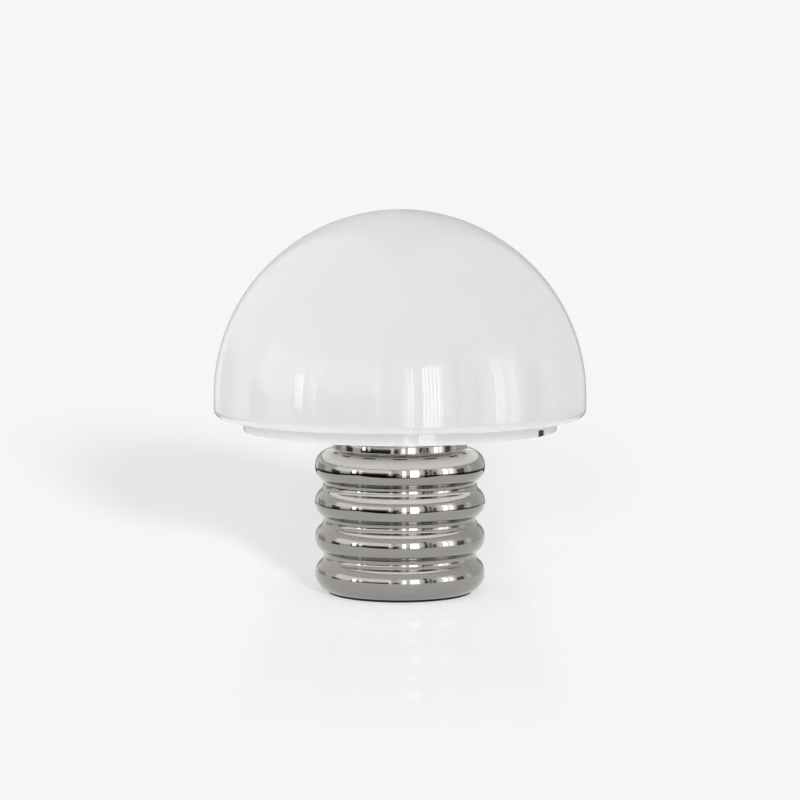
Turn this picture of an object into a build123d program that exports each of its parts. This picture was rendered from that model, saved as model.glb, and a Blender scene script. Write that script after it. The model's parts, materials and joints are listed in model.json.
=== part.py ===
from build123d import *
from math import asin, atan2, cos, degrees, pi, radians, sin, sqrt
import os

# Mushroom table lamp: a ribbed chrome base, a lift-off opal glass shade and a screw-in bulb.
# Millimetres. The origin is the middle of the felt's underside, and the lamp's axis is +Z.
# The front is -Y, and the cord comes in at the back, +Y.

# ---------------------------------------------------------------- driving dimensions

# Opal glass shade
shade_radius = 145.0  # outside of the dome
shade_wall = 3.5
dome_centre_rise = 16.0  # centre of the hemisphere above the dome's flat shoulder
shade_corner_radius = 6.7  # dome to shoulder
lip_radius = 122.2  # outside of the narrower lip
lip_height = 10.4  # the lip below the shoulder
lip_wall = 3.6
lip_rounding = 1.1
ledge_height = 5.4  # ledge inside the lip, above the lip's edge
ledge_width = 5.6
notch_width = 11.0  # locating notches in the lip, one at each end of a diameter
notch_count = 2
notch_angle = -28.0  # first notch, from +X towards +Y

# Chrome base shell
rib_crest_radius = 66.5
rib_depth = 6.55  # crest to valley
rib_count = 4
rib_pitch = 27.9
rib_arc_radius = 13.0
first_rib_height = 15.5  # crest of the lowest rib above the table
neck_radius = 52.3
neck_height = 13.0  # neck above the top rib
neck_fillet = 0.6
neck_straight_height = 1.0  # upright part of the neck, below its rounded crown
neck_crown_radius = 26.0
neck_corner_radius = 2.0
foot_tuck = 9.9  # foot's edge inside the rib's crest
foot_hem = 1.0  # thickness of the bottom edge outside the plate
foot_flange_width = 5.6
shell_sheet = 1.2

# Felt, bottom plate and ballast
felt_thickness = 1.5
felt_inset = 0.6  # felt edge inside the shell's edge
plate_sheet = 1.2
plate_clearance = 0.3  # plate inside the shell's edge
plate_cup_radius = 13.0  # recess for the foot nut
plate_cup_height = 6.0
ballast_height = 21.0
ballast_chamfer = 1.5
ballast_gap = 1.0  # ballast inside the foot flange
cup_clearance = 0.3  # ballast round the plate's cup

# Threaded stem and its nuts
stem_radius = 5.0
stem_wall = 1.1
stem_slot_width = 7.0  # opening where the leads enter
stem_slot_height = 26.0
stem_slot_rise = 16.0  # slot above the ballast
stem_foot_gap = 0.8  # stem end above the felt
stem_proud = 1.0  # stem end above the lampholder's thread
nut_across_flats = 14.0
nut_thickness = 3.5
washer_radius = 10.0
washer_thickness = 1.2
thread_clearance = 0.05

# Shade carrier on the neck
carrier_sheet = 1.2
carrier_depth = 3.6  # rim above the floor
carrier_rim_width = 11.0
carrier_cone_width = 9.0
carrier_bend_radius = 2.5
carrier_clearance = 0.6  # carrier rim inside the lip
vent_ring_radius = 57.0
vent_count = 12
vent_length = 14.0
vent_width = 5.0
gasket_thickness = 1.0
gasket_inset = 0.3
neck_seal_thickness = 0.8
neck_seal_width = 12.0
tab_length = 2.6  # carrier tab that stands into each notch
tab_width = 6.0
tab_root = 2.0  # tab inside the rim's edge
sleeve_clearance = 0.45  # rubber sleeve inside its notch
sleeve_inset = 0.5  # sleeve face inside the lip's face
sleeve_lift = 0.1  # sleeve above the lip's edge

# Lampholder
holder_radius = 19.5
holder_wall = 2.0
holder_cap_height = 20.0
holder_cap_neck_radius = 9.5
holder_cap_neck_height = 4.0
holder_cap_thread = 9.0
holder_cap_step = 5.0  # wide cavity above the narrow one
holder_skirt_height = 36.0
holder_collar_height = 3.0
collar_gap = 0.2  # collar outside the screw sleeve
insert_height = 10.0
insert_clearance = 0.1
sleeve_bore_radius = 13.35
sleeve_sheet = 0.5
sleeve_height = 24.0
contact_rise = 2.0
contact_sheet = 0.5
contact_width = 6.0
contact_length = 15.0
terminal_size = 5.0
terminal_spread = 9.5  # middle of each terminal from the axis
terminal_screw_radius = 1.6
terminal_screw_head = 1.0

# Bulb with an Edison screw cap
bulb_radius = 30.0
bulb_length = 105.0
bulb_wall = 0.7
bulb_neck_radius = 12.2
bulb_neck_height = 28.0  # top of the straight neck above the contact
bulb_neck_buried = 10.0  # neck inside the cap
contact_gap = 0.3
cap_height = 26.0
cap_base_height = 5.5  # insulator and contact below the cap's metal
cap_sheet = 0.3
cap_glass_gap = 0.1
thread_core_radius = 12.25
thread_bead_radius = 0.85
thread_pitch = 3.629
thread_turns = 3.5
thread_rise = 7.5  # start of the thread above the contact
pip_radius = 4.5
pip_height = 1.8
pip_shank_radius = 2.0
pip_shank_height = 2.4
pip_rounding = 1.1
pip_clearance = 0.05
insulator_land = 1.0  # insulator's flat outside the contact
insulator_seat = 1.0  # insulator inside the cap
stem_press_height = 44.0
stem_press_radius = 4.0
stem_rod_radius = 2.0
stem_rod_height = 61.0
filament_height = 67.0
filament_radius = 14.0
filament_wire_radius = 0.25
support_wire_radius = 0.3
support_count = 3
support_drop = 1.0  # supports leave the rod below its top
bulb_lead_rise = 3.0  # straight start of each lead-in wire
bulb_lead_bend = 2.0

# Cord inlet at the back
cord_radius = 3.3
bush_wall = 1.5
bush_flange_width = 2.4
bush_flange_height = 2.2
bush_tail = 6.0
barb_setback = 1.8  # snap ring behind the sheet's inner face
barb_width = 0.8
barb_length = 2.0
barb_taper = 20.0  # degrees

# Wiring inside the base
block_length = 30.0
block_width = 16.0
block_height = 12.0
block_offset = 28.0
block_pole_pitch = 8.0
block_screw_radius = 2.2
block_screw_head = 0.8
block_screw_spread = 4.0  # each screw from the block's middle
block_corner_radius = 1.5
wire_radius = 1.1
wire_offset = 1.3  # each lead from the stem's axis
lead_height = 6.0  # leads leave the block above the ballast
lead_start = 5.0  # straight stretch out of the block
lead_climb = 12.0  # from the slot's middle to the straight run up the stem
lead_bends = [2.4, 5.0, 5.0, 1.5, 1.2]
earth_bends = [1.5, 2.5, 2.5]
earth_swing = 4.0  # earth lead beside its pole
tag_radius = 4.0
tag_sheet = 0.8
tag_barrel_length = 6.0
earth_x = -30.0
earth_y = 22.0
earth_screw_radius = 2.0
earth_head_radius = 3.6
earth_head_height = 2.4

# ---------------------------------------------------------------- derived places

rib_heights = [first_rib_height + rib_pitch * i for i in range(rib_count)]
rib_valley_radius = rib_crest_radius - rib_depth
top_arc_radius = rib_crest_radius - neck_radius
neck_top_height = rib_heights[-1] + top_arc_radius + neck_height
neck_fillet_rise = sqrt(top_arc_radius**2 + 2 * top_arc_radius * neck_fillet)
neck_crown_height = rib_heights[-1] + neck_fillet_rise + neck_straight_height
neck_corner_reach = neck_crown_radius - neck_corner_radius
neck_corner_drop = neck_top_height - neck_corner_radius - neck_crown_height
neck_crown_turn = degrees(asin(neck_corner_drop / neck_corner_reach))
carrier_bottom = neck_top_height + neck_seal_thickness
carrier_top = carrier_bottom + carrier_sheet
carrier_rim_top = carrier_top + carrier_depth
carrier_rim_bottom = carrier_rim_top - carrier_sheet

ledge_level = carrier_rim_top + gasket_thickness
lip_bottom = ledge_level - ledge_height
shoulder_height = lip_bottom + lip_height
dome_centre_height = shoulder_height + dome_centre_rise
lip_bore = lip_radius - lip_wall
carrier_rim_radius = lip_bore - carrier_clearance
carrier_cone_radius = carrier_rim_radius - carrier_rim_width  # top of the cone
carrier_floor_radius = carrier_cone_radius - carrier_cone_width
ledge_radius = lip_bore - ledge_width
shoulder_top = shoulder_height + shade_wall
corner_centre_height = shoulder_height + shade_corner_radius
corner_centre_radius = shade_radius - shade_corner_radius
notch_angles = [notch_angle + 360 / notch_count * i for i in range(notch_count)]
notch_span = degrees(notch_width / lip_radius)

shell_bottom = felt_thickness
foot_radius = rib_crest_radius - foot_tuck
foot_drop = first_rib_height - shell_bottom
foot_arc_radius = (foot_tuck**2 + foot_drop**2) / (2 * foot_tuck)
flange_bottom = shell_bottom + plate_sheet
flange_top = flange_bottom + shell_sheet
plate_recess_radius = foot_radius - foot_hem
flange_bore = plate_recess_radius - foot_flange_width

plate_top = shell_bottom + plate_sheet
cup_top = plate_top + plate_cup_height
nut_bore = stem_radius + thread_clearance
ballast_radius = flange_bore - ballast_gap
ballast_top = plate_top + ballast_height
stem_bottom = felt_thickness + stem_foot_gap
ballast_nut_bottom = ballast_top + washer_thickness

seal_radius = neck_radius - neck_crown_radius + neck_corner_reach * cos(radians(neck_crown_turn))
carrier_nut_bottom = carrier_top + washer_thickness

holder_bottom = carrier_nut_bottom + nut_thickness
holder_cap_top = holder_bottom + holder_cap_height
stem_top = holder_bottom + holder_cap_thread + stem_proud
insert_radius = holder_radius - holder_wall - insert_clearance
insert_top = holder_cap_top + insert_height
cap_cavity_radius = holder_radius - 2 * holder_wall
contact_top = insert_top + contact_rise + contact_sheet

bulb_tip = contact_top + contact_gap
bulb_centre = bulb_tip + bulb_length - bulb_radius
bulb_neck_top = bulb_tip + bulb_neck_height
bulb_neck_bottom = bulb_tip + cap_height - bulb_neck_buried
cap_bottom = bulb_tip + cap_base_height
cap_top = bulb_tip + cap_height
flare_rise = bulb_centre - bulb_neck_top
bulb_flare_radius = (flare_rise**2 + bulb_neck_radius**2 - bulb_radius**2) / (
    2 * (bulb_radius - bulb_neck_radius)
)


def radial_plane(angle):
    """The upright plane through the lamp's axis: x is the radius at that angle, y the height."""
    out = (cos(radians(angle)), sin(radians(angle)), 0)
    return Plane(origin=(0, 0, 0), x_dir=out, z_dir=(out[1], -out[0], 0))


def polar(radius, angle):
    """The x and y of a point at a radius and an angle from +X."""
    return radius * cos(radians(angle)), radius * sin(radians(angle))


def stem_nut(bottom):
    """A six-sided nut on the stem."""
    with BuildPart() as nut:
        with BuildSketch(Plane.XY.offset(bottom)):
            RegularPolygon(nut_across_flats / 2, 6, major_radius=False)
            Circle(nut_bore, mode=Mode.SUBTRACT)
        extrude(amount=nut_thickness)
    return nut


def flat_ring(bottom, thickness, outer_radius, inner_radius):
    """A flat ring about the lamp's axis."""
    with BuildPart() as made:
        with BuildSketch(Plane.XY.offset(bottom)):
            Circle(outer_radius)
            Circle(inner_radius, mode=Mode.SUBTRACT)
        extrude(amount=thickness)
    return made


pieces = []


def finish(name, built):
    """Labels a finished piece and keeps it for export."""
    built.part.label = name
    pieces.append(built.part)


# ---------------------------------------------------------------- opal glass shade


def dome_outline(inset, bottom, rim_radius):
    """The dome from its rim in the flat shoulder to its top, drawn inset from the outside."""
    corner = shade_corner_radius - inset
    Polyline((rim_radius, bottom), (corner_centre_radius, bottom))
    CenterArc((corner_centre_radius, corner_centre_height), corner, -90, 90)
    side = shade_radius - inset
    Line((side, corner_centre_height), (side, dome_centre_height))
    CenterArc((0, dome_centre_height), side, 0, 90)


with BuildPart() as shade:
    with BuildSketch(Plane.XZ):
        with BuildLine():
            dome_outline(0, shoulder_height, lip_radius)
            Line((0, dome_centre_height + shade_radius), (0, lip_bottom))
            Line((0, lip_bottom), (lip_radius, lip_bottom))
            Line((lip_radius, lip_bottom), (lip_radius, shoulder_height))
        make_face()
    revolve(axis=Axis.Z)
    lip_edges = shade.edges().filter_by(GeomType.CIRCLE)
    crease = lip_edges.filter_by(lambda e: abs(e.radius - lip_radius) < 0.01)
    fillet(crease, radius=lip_rounding)
    with BuildSketch(Plane.XZ):
        with BuildLine():
            dome_outline(shade_wall, shoulder_top, ledge_radius)
            Line((0, dome_centre_height + shade_radius - shade_wall), (0, ledge_level))
            Line((0, ledge_level), (ledge_radius, ledge_level))
            Line((ledge_radius, ledge_level), (ledge_radius, shoulder_top))
        make_face()
    revolve(axis=Axis.Z, mode=Mode.SUBTRACT)
    with BuildSketch(Plane.XY.offset(lip_bottom)):
        Circle(lip_bore)
    extrude(amount=ledge_height, mode=Mode.SUBTRACT)
    for angle in notch_angles:
        with BuildSketch(radial_plane(angle - notch_span / 2)):
            with Locations((lip_radius, lip_bottom)):
                Rectangle(2 * lip_wall, 2 * ledge_height)
        revolve(axis=Axis.Z, revolution_arc=notch_span, mode=Mode.SUBTRACT)
finish("shade", shade)

# ---------------------------------------------------------------- chrome base shell


def rib_outline(inset, start_height):
    """The shell's side from near the table to the middle of its top, inset from the outside."""
    centre = rib_crest_radius - rib_arc_radius
    gap = rib_valley_radius - centre
    half_pitch = rib_pitch / 2
    valley_arc = (gap**2 + half_pitch**2 - rib_arc_radius**2) / (2 * (rib_arc_radius - gap))
    turn = degrees(atan2(half_pitch, gap + valley_arc))

    foot_arc = foot_arc_radius - inset
    foot_turn = degrees(asin((first_rib_height - start_height) / foot_arc))
    foot_centre = (rib_crest_radius - foot_arc_radius, first_rib_height)
    CenterArc(foot_centre, foot_arc, -foot_turn, foot_turn)
    for height in rib_heights[:-1]:
        lower = (centre, height)
        between = (centre + gap + valley_arc, height + half_pitch)
        upper = (centre, height + rib_pitch)
        CenterArc(lower, rib_arc_radius - inset, 0, turn)
        CenterArc(between, valley_arc + inset, 180 + turn, -2 * turn)
        CenterArc(upper, rib_arc_radius - inset, -turn, turn)

    top_turn = degrees(atan2(neck_fillet_rise, neck_fillet))
    fillet_centre = (neck_radius + neck_fillet, rib_heights[-1] + neck_fillet_rise)
    CenterArc((neck_radius, rib_heights[-1]), top_arc_radius - inset, 0, top_turn)
    CenterArc(fillet_centre, neck_fillet + inset, 180 + top_turn, -top_turn)
    Line((neck_radius - inset, fillet_centre[1]), (neck_radius - inset, neck_crown_height))
    crown_centre = (neck_radius - neck_crown_radius, neck_crown_height)
    CenterArc(crown_centre, neck_crown_radius - inset, 0, neck_crown_turn)
    corner = (seal_radius, neck_top_height - neck_corner_radius)
    CenterArc(corner, neck_corner_radius - inset, neck_crown_turn, 90 - neck_crown_turn)
    Line((seal_radius, neck_top_height - inset), (0, neck_top_height - inset))


def rib_start(inset, start_height):
    """The radius at which the outline starts."""
    foot_arc = foot_arc_radius - inset
    drop = first_rib_height - start_height
    return rib_crest_radius - foot_arc_radius + sqrt(foot_arc**2 - drop**2)


with BuildPart() as shell_outside:
    with BuildSketch(Plane.XZ):
        with BuildLine():
            rib_outline(0, shell_bottom)
            Line((0, neck_top_height), (0, shell_bottom))
            Line((0, shell_bottom), (foot_radius, shell_bottom))
        make_face()
    revolve(axis=Axis.Z)

bush_shank_radius = cord_radius + bush_wall

with BuildPart() as base_shell:
    add(shell_outside.part)
    with BuildSketch(Plane.XZ):
        with BuildLine():
            rib_outline(shell_sheet, flange_top)
            Line((0, neck_top_height - shell_sheet), (0, flange_top))
            Line((0, flange_top), (rib_start(shell_sheet, flange_top), flange_top))
        make_face()
    revolve(axis=Axis.Z, mode=Mode.SUBTRACT)
    with BuildSketch(Plane.XY.offset(shell_bottom)):
        Circle(plate_recess_radius)
    extrude(amount=plate_sheet, mode=Mode.SUBTRACT)
    with BuildSketch(Plane.XY.offset(flange_bottom)):
        Circle(flange_bore)
    extrude(amount=shell_sheet, mode=Mode.SUBTRACT)
    with BuildSketch(Plane.XY.offset(neck_top_height)):
        Circle(stem_radius + 2 * thread_clearance)
    extrude(amount=-2 * shell_sheet, mode=Mode.SUBTRACT)
    with BuildSketch(Plane.XZ.offset(-rib_valley_radius)):
        with Locations((0, first_rib_height)):
            Circle(bush_shank_radius)
    extrude(amount=-2 * (rib_crest_radius - rib_valley_radius), mode=Mode.SUBTRACT)
finish("base_shell", base_shell)

# ---------------------------------------------------------------- foot, ballast and stem

with BuildPart() as felt_pad:
    with BuildSketch():
        Circle(foot_radius - felt_inset)
    extrude(amount=felt_thickness)
finish("felt_pad", felt_pad)

with BuildPart() as base_plate:
    with BuildSketch(Plane.XY.offset(shell_bottom)):
        Circle(plate_recess_radius - plate_clearance)
    extrude(amount=plate_sheet)
    with BuildSketch(Plane.XY.offset(plate_top)):
        Circle(plate_cup_radius + plate_sheet)
    extrude(amount=plate_cup_height)
    with BuildSketch(Plane.XY.offset(shell_bottom)):
        Circle(plate_cup_radius)
    extrude(amount=plate_cup_height, mode=Mode.SUBTRACT)
    with BuildSketch(Plane.XY.offset(cup_top)):
        Circle(stem_radius + thread_clearance)
    extrude(amount=-2 * plate_sheet, mode=Mode.SUBTRACT)
finish("base_plate", base_plate)

with BuildPart() as ballast_weight:
    with BuildSketch(Plane.XY.offset(plate_top)):
        Circle(ballast_radius)
        Circle(nut_bore, mode=Mode.SUBTRACT)
    extrude(amount=ballast_height)
    rims = ballast_weight.edges().filter_by(GeomType.CIRCLE)
    chamfer(rims.filter_by(lambda e: abs(e.radius - ballast_radius) < 0.01), ballast_chamfer)
    with BuildSketch(Plane.XY.offset(plate_top)):
        Circle(plate_cup_radius + plate_sheet + cup_clearance)
    extrude(amount=plate_cup_height, mode=Mode.SUBTRACT)
finish("ballast_weight", ballast_weight)

with BuildPart() as stem_tube:
    with BuildSketch(Plane.XY.offset(stem_bottom)):
        Circle(stem_radius)
        Circle(stem_radius - stem_wall, mode=Mode.SUBTRACT)
    extrude(amount=stem_top - stem_bottom)
    with BuildSketch(Plane.XZ):
        with Locations((0, ballast_top + stem_slot_rise)):
            SlotOverall(stem_slot_height, stem_slot_width, rotation=90, align=(Align.MIN, Align.CENTER))
    extrude(amount=-2 * stem_radius, mode=Mode.SUBTRACT)
finish("stem_tube", stem_tube)

finish("foot_nut", stem_nut(cup_top - plate_sheet - nut_thickness))
finish("ballast_washer", flat_ring(ballast_top, washer_thickness, washer_radius, nut_bore))
finish("ballast_nut", stem_nut(ballast_nut_bottom))

# ---------------------------------------------------------------- shade carrier

seal_bore = seal_radius - neck_seal_width
finish("neck_seal", flat_ring(neck_top_height, neck_seal_thickness, seal_radius, seal_bore))

with BuildPart() as shade_carrier:
    floor_level = carrier_bottom + carrier_sheet / 2
    rim_level = carrier_rim_top - carrier_sheet / 2
    with BuildSketch(Plane.XZ):
        with BuildLine() as bent_sheet:
            FilletPolyline(
                (nut_bore, floor_level),
                (carrier_floor_radius, floor_level),
                (carrier_cone_radius, rim_level),
                (carrier_rim_radius, rim_level),
                radius=carrier_bend_radius,
            )
        trace(line_width=carrier_sheet)
    revolve(axis=Axis.Z)
    with BuildSketch(Plane.XY.offset(carrier_bottom)):
        with PolarLocations(vent_ring_radius, vent_count):
            SlotOverall(vent_length, vent_width, rotation=90)
    extrude(amount=carrier_sheet, mode=Mode.SUBTRACT)
    tab_middle = carrier_rim_radius + (tab_length - tab_root) / 2
    with BuildSketch(Plane.XY.offset(carrier_rim_bottom)):
        for angle in notch_angles:
            with Locations(Location(polar(tab_middle, angle), angle)):
                Rectangle(tab_length + tab_root, tab_width)
    extrude(amount=carrier_sheet)
finish("shade_carrier", shade_carrier)

with BuildPart() as notch_sleeves:
    sleeve_inner = lip_bore
    sleeve_depth = lip_wall - sleeve_inset
    sleeve_rise = ledge_height - sleeve_clearance - sleeve_lift
    sleeve_span = degrees((notch_width - 2 * sleeve_clearance) / lip_radius)
    for angle in notch_angles:
        with BuildSketch(radial_plane(angle - sleeve_span / 2)):
            with Locations((sleeve_inner, lip_bottom + sleeve_lift)):
                Rectangle(sleeve_depth, sleeve_rise, align=(Align.MIN, Align.MIN))
        revolve(axis=Axis.Z, revolution_arc=sleeve_span)
    add(shade_carrier.part, mode=Mode.SUBTRACT)
finish("notch_sleeves", notch_sleeves)

gasket_outer = carrier_rim_radius - gasket_inset
gasket_bore = ledge_radius - gasket_inset
finish("rim_gasket", flat_ring(carrier_rim_top, gasket_thickness, gasket_outer, gasket_bore))
finish("carrier_washer", flat_ring(carrier_top, washer_thickness, washer_radius, nut_bore))
finish("carrier_nut", stem_nut(carrier_nut_bottom))

# ---------------------------------------------------------------- lampholder

with BuildPart() as holder_cap:
    flare_bottom = holder_bottom + holder_cap_neck_height
    flare_width = holder_radius - holder_cap_neck_radius
    cavity_bottom = holder_bottom + holder_cap_thread
    with BuildSketch(Plane.XZ):
        with BuildLine():
            Polyline(
                (0, holder_cap_top),
                (0, holder_bottom),
                (holder_cap_neck_radius, holder_bottom),
                (holder_cap_neck_radius, flare_bottom),
            )
            ThreePointArc(
                (holder_cap_neck_radius, flare_bottom),
                (
                    holder_radius - flare_width * (1 - sin(pi / 4)),
                    flare_bottom + flare_width * (1 - cos(pi / 4)),
                ),
                (holder_radius, flare_bottom + flare_width),
            )
            Polyline(
                (holder_radius, flare_bottom + flare_width),
                (holder_radius, holder_cap_top),
                (0, holder_cap_top),
            )
        make_face()
    revolve(axis=Axis.Z)
    with BuildSketch(Plane.XY.offset(holder_bottom)):
        Circle(nut_bore)
    extrude(amount=holder_cap_height, mode=Mode.SUBTRACT)
    with BuildSketch(Plane.XY.offset(holder_cap_top)):
        Circle(cap_cavity_radius)
    extrude(amount=cavity_bottom + holder_cap_step - holder_cap_top, mode=Mode.SUBTRACT)
    with BuildSketch(Plane.XY.offset(cavity_bottom)):
        Circle(holder_cap_neck_radius - holder_wall)
    extrude(amount=holder_cap_step, mode=Mode.SUBTRACT)
finish("holder_cap", holder_cap)

with BuildPart() as holder_insert:
    with BuildSketch(Plane.XY.offset(holder_cap_top)):
        Circle(insert_radius)
    extrude(amount=insert_height)
finish("holder_insert", holder_insert)

with BuildPart() as holder_skirt:
    with BuildSketch(Plane.XY.offset(holder_cap_top)):
        Circle(holder_radius)
        Circle(holder_radius - holder_wall, mode=Mode.SUBTRACT)
    extrude(amount=holder_skirt_height)
    with BuildSketch(Plane.XY.offset(holder_cap_top + holder_skirt_height)):
        Circle(holder_radius)
        Circle(sleeve_bore_radius + sleeve_sheet + collar_gap, mode=Mode.SUBTRACT)
    extrude(amount=-holder_collar_height)
    top_rim = holder_skirt.faces().sort_by(Axis.Z)[-1].edges()
    fillet(top_rim.filter_by(lambda e: e.radius > holder_radius - 0.1), holder_wall / 2)
finish("holder_skirt", holder_skirt)

sleeve_radius = sleeve_bore_radius + sleeve_sheet
finish("screw_sleeve", flat_ring(insert_top, sleeve_height, sleeve_radius, sleeve_bore_radius))

with BuildPart() as centre_contact:
    strip_end = contact_length - contact_width
    with BuildSketch(Plane.XZ):
        with BuildLine():
            Polyline(
                (-strip_end, insert_top + contact_sheet / 2),
                (-strip_end / 2, insert_top + contact_sheet / 2),
                (-contact_width / 3, contact_top - contact_sheet / 2),
                (contact_width / 2, contact_top - contact_sheet / 2),
            )
        trace(line_width=contact_sheet)
    extrude(amount=contact_width / 2, both=True)
finish("centre_contact", centre_contact)

sides = [-1, 1]

with BuildPart() as holder_terminals:
    with BuildSketch(Plane.XY.offset(holder_cap_top)):
        with Locations(*[(side * terminal_spread, 0) for side in sides]):
            Rectangle(terminal_size, terminal_size)
    extrude(amount=-terminal_size)
finish("holder_terminals", holder_terminals)

with BuildPart() as terminal_screws:
    for side in sides:
        with BuildSketch(Plane.XZ.offset(terminal_size / 2)):
            with Locations((side * terminal_spread, holder_cap_top - terminal_size / 2)):
                Circle(terminal_screw_radius)
        extrude(amount=terminal_screw_head)
finish("terminal_screws", terminal_screws)

# ---------------------------------------------------------------- bulb


def envelope_outline(inset):
    """The bulb's glass from its buried neck to its top, inset from the outside."""
    flare_centre = (bulb_neck_radius + bulb_flare_radius, bulb_neck_top)
    turn = degrees(atan2(flare_rise, flare_centre[0]))
    neck = bulb_neck_radius - inset
    Line((neck, bulb_neck_bottom), (neck, bulb_neck_top))
    CenterArc(flare_centre, bulb_flare_radius + inset, 180, -turn)
    CenterArc((0, bulb_centre), bulb_radius - inset, -turn, 90 + turn)


with BuildPart() as bulb_glass:
    with BuildSketch(Plane.XZ):
        with BuildLine():
            envelope_outline(0)
            Line((0, bulb_centre + bulb_radius), (0, bulb_neck_bottom))
            Line((0, bulb_neck_bottom), (bulb_neck_radius, bulb_neck_bottom))
        make_face()
    revolve(axis=Axis.Z)
    with BuildSketch(Plane.XZ):
        with BuildLine():
            envelope_outline(bulb_wall)
            Line((0, bulb_centre + bulb_radius - bulb_wall), (0, bulb_neck_bottom))
            Line((0, bulb_neck_bottom), (bulb_neck_radius - bulb_wall, bulb_neck_bottom))
        make_face()
    revolve(axis=Axis.Z, mode=Mode.SUBTRACT)
finish("bulb_glass", bulb_glass)

with BuildPart() as bulb_stem:
    press_level = bulb_tip + stem_press_height
    with BuildSketch(Plane.XZ):
        Polygon(
            (0, bulb_neck_bottom),
            (bulb_neck_radius - bulb_wall, bulb_neck_bottom),
            (bulb_neck_radius - bulb_wall, bulb_neck_bottom + 2 * bulb_wall),
            (stem_press_radius, bulb_tip + cap_height),
            (stem_press_radius, press_level),
            (stem_rod_radius, press_level),
            (stem_rod_radius, bulb_tip + stem_rod_height),
            (0, bulb_tip + stem_rod_height),
            align=None,
        )
    revolve(axis=Axis.Z)
finish("bulb_stem", bulb_stem)

filament_level = bulb_tip + filament_height
support_angles = [-180 / (support_count + 1) * (i + 1) for i in range(support_count)]

with BuildPart() as bulb_filament:
    with BuildLine():
        CenterArc((0, 0, filament_level), filament_radius, 180, 180)
    with BuildSketch(Plane(origin=(filament_radius, 0, filament_level), z_dir=(0, 1, 0))):
        Circle(filament_wire_radius)
    sweep()
finish("bulb_filament", bulb_filament)

with BuildPart() as bulb_supports:
    rod_top = bulb_tip + stem_rod_height
    lead_reach = filament_radius - filament_wire_radius
    for side in sides:
        foot = Vector(side * (stem_press_radius - support_wire_radius), 0, press_level)
        knee = Vector(side * filament_radius / 2, 0, press_level + filament_radius / 2)
        with BuildLine() as lead_wire:
            straight_end = foot + Vector(0, 0, bulb_lead_rise)
            tip = (side * lead_reach, 0, filament_level)
            FilletPolyline(foot, straight_end, knee, tip, radius=bulb_lead_bend)
        with BuildSketch(Plane(origin=foot, z_dir=(0, 0, 1))):
            Circle(support_wire_radius)
        sweep(path=lead_wire.wires()[0])
    for angle in support_angles:
        inner = Vector(*polar(stem_rod_radius, angle), rod_top - support_drop)
        outer = Vector(*polar(lead_reach, angle), filament_level)
        with BuildSketch(Plane(origin=outer, z_dir=inner - outer)):
            Circle(support_wire_radius)
        extrude(amount=(inner - outer).length)
    add(bulb_stem.part, mode=Mode.SUBTRACT)
    add(bulb_filament.part, mode=Mode.SUBTRACT)
finish("bulb_supports", bulb_supports)

with BuildPart() as bulb_cap:
    cap_bore = bulb_neck_radius + cap_glass_gap
    shell_radius = cap_bore + cap_sheet
    with BuildSketch(Plane.XY.offset(cap_bottom)):
        Circle(shell_radius)
    extrude(amount=cap_top - cap_bottom)
    with BuildLine() as thread_path:
        Helix(thread_pitch, thread_pitch * thread_turns, thread_core_radius, (0, 0, bulb_tip + thread_rise))
    with BuildSketch(Plane(origin=thread_path.line @ 0, z_dir=thread_path.line % 0)):
        Circle(thread_bead_radius)
    sweep(is_frenet=True)
    with BuildSketch(Plane.XY.offset(cap_bottom)):
        Circle(cap_bore)
    extrude(amount=cap_top - cap_bottom, mode=Mode.SUBTRACT)
finish("bulb_cap", bulb_cap)

with BuildPart() as bulb_insulator:
    with BuildSketch(Plane.XZ):
        Polygon(
            (pip_shank_radius + pip_clearance, bulb_tip + pip_height),
            (pip_radius + insulator_land, bulb_tip + pip_height),
            (shell_radius, cap_bottom),
            (cap_bore, cap_bottom),
            (cap_bore, cap_bottom + insulator_seat),
            (pip_shank_radius + pip_clearance, cap_bottom + insulator_seat),
            align=None,
        )
    revolve(axis=Axis.Z)
finish("bulb_insulator", bulb_insulator)

with BuildPart() as bulb_contact:
    with BuildSketch(Plane.XY.offset(bulb_tip)):
        Circle(pip_radius)
    extrude(amount=pip_height)
    tip_edge = bulb_contact.faces().sort_by(Axis.Z)[0].edges()
    fillet(tip_edge, pip_rounding)
    with BuildSketch(Plane.XY.offset(bulb_tip + pip_height)):
        Circle(pip_shank_radius)
    extrude(amount=pip_shank_height)
finish("bulb_contact", bulb_contact)

# ---------------------------------------------------------------- cord inlet and wiring

with BuildPart() as cord_bush:
    bush_face = rib_crest_radius + bush_flange_height
    bush_tail_end = rib_crest_radius - shell_sheet - bush_tail
    with BuildSketch(Plane.XZ.offset(-bush_face)):
        with Locations((0, first_rib_height)):
            Circle(bush_shank_radius + bush_flange_width)
    extrude(amount=bush_face - rib_valley_radius)
    add(shell_outside.part, mode=Mode.SUBTRACT)
    flange_edge = cord_bush.faces().sort_by(Axis.Y)[-1].edges()
    fillet(flange_edge, bush_flange_height / 3)
    with BuildSketch(Plane.XZ.offset(-bush_face + bush_flange_height / 2)):
        with Locations((0, first_rib_height)):
            Circle(bush_shank_radius)
    extrude(amount=bush_face - bush_flange_height / 2 - bush_tail_end)
    with BuildSketch(Plane.XZ.offset(barb_setback + shell_sheet - rib_crest_radius)):
        with Locations((0, first_rib_height)):
            Circle(bush_shank_radius + barb_width)
    extrude(amount=barb_length, taper=barb_taper)
    with BuildSketch(Plane.XZ.offset(-bush_face)):
        with Locations((0, first_rib_height)):
            Circle(cord_radius)
    extrude(amount=bush_face - bush_tail_end, mode=Mode.SUBTRACT)
finish("cord_bush", cord_bush)

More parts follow.
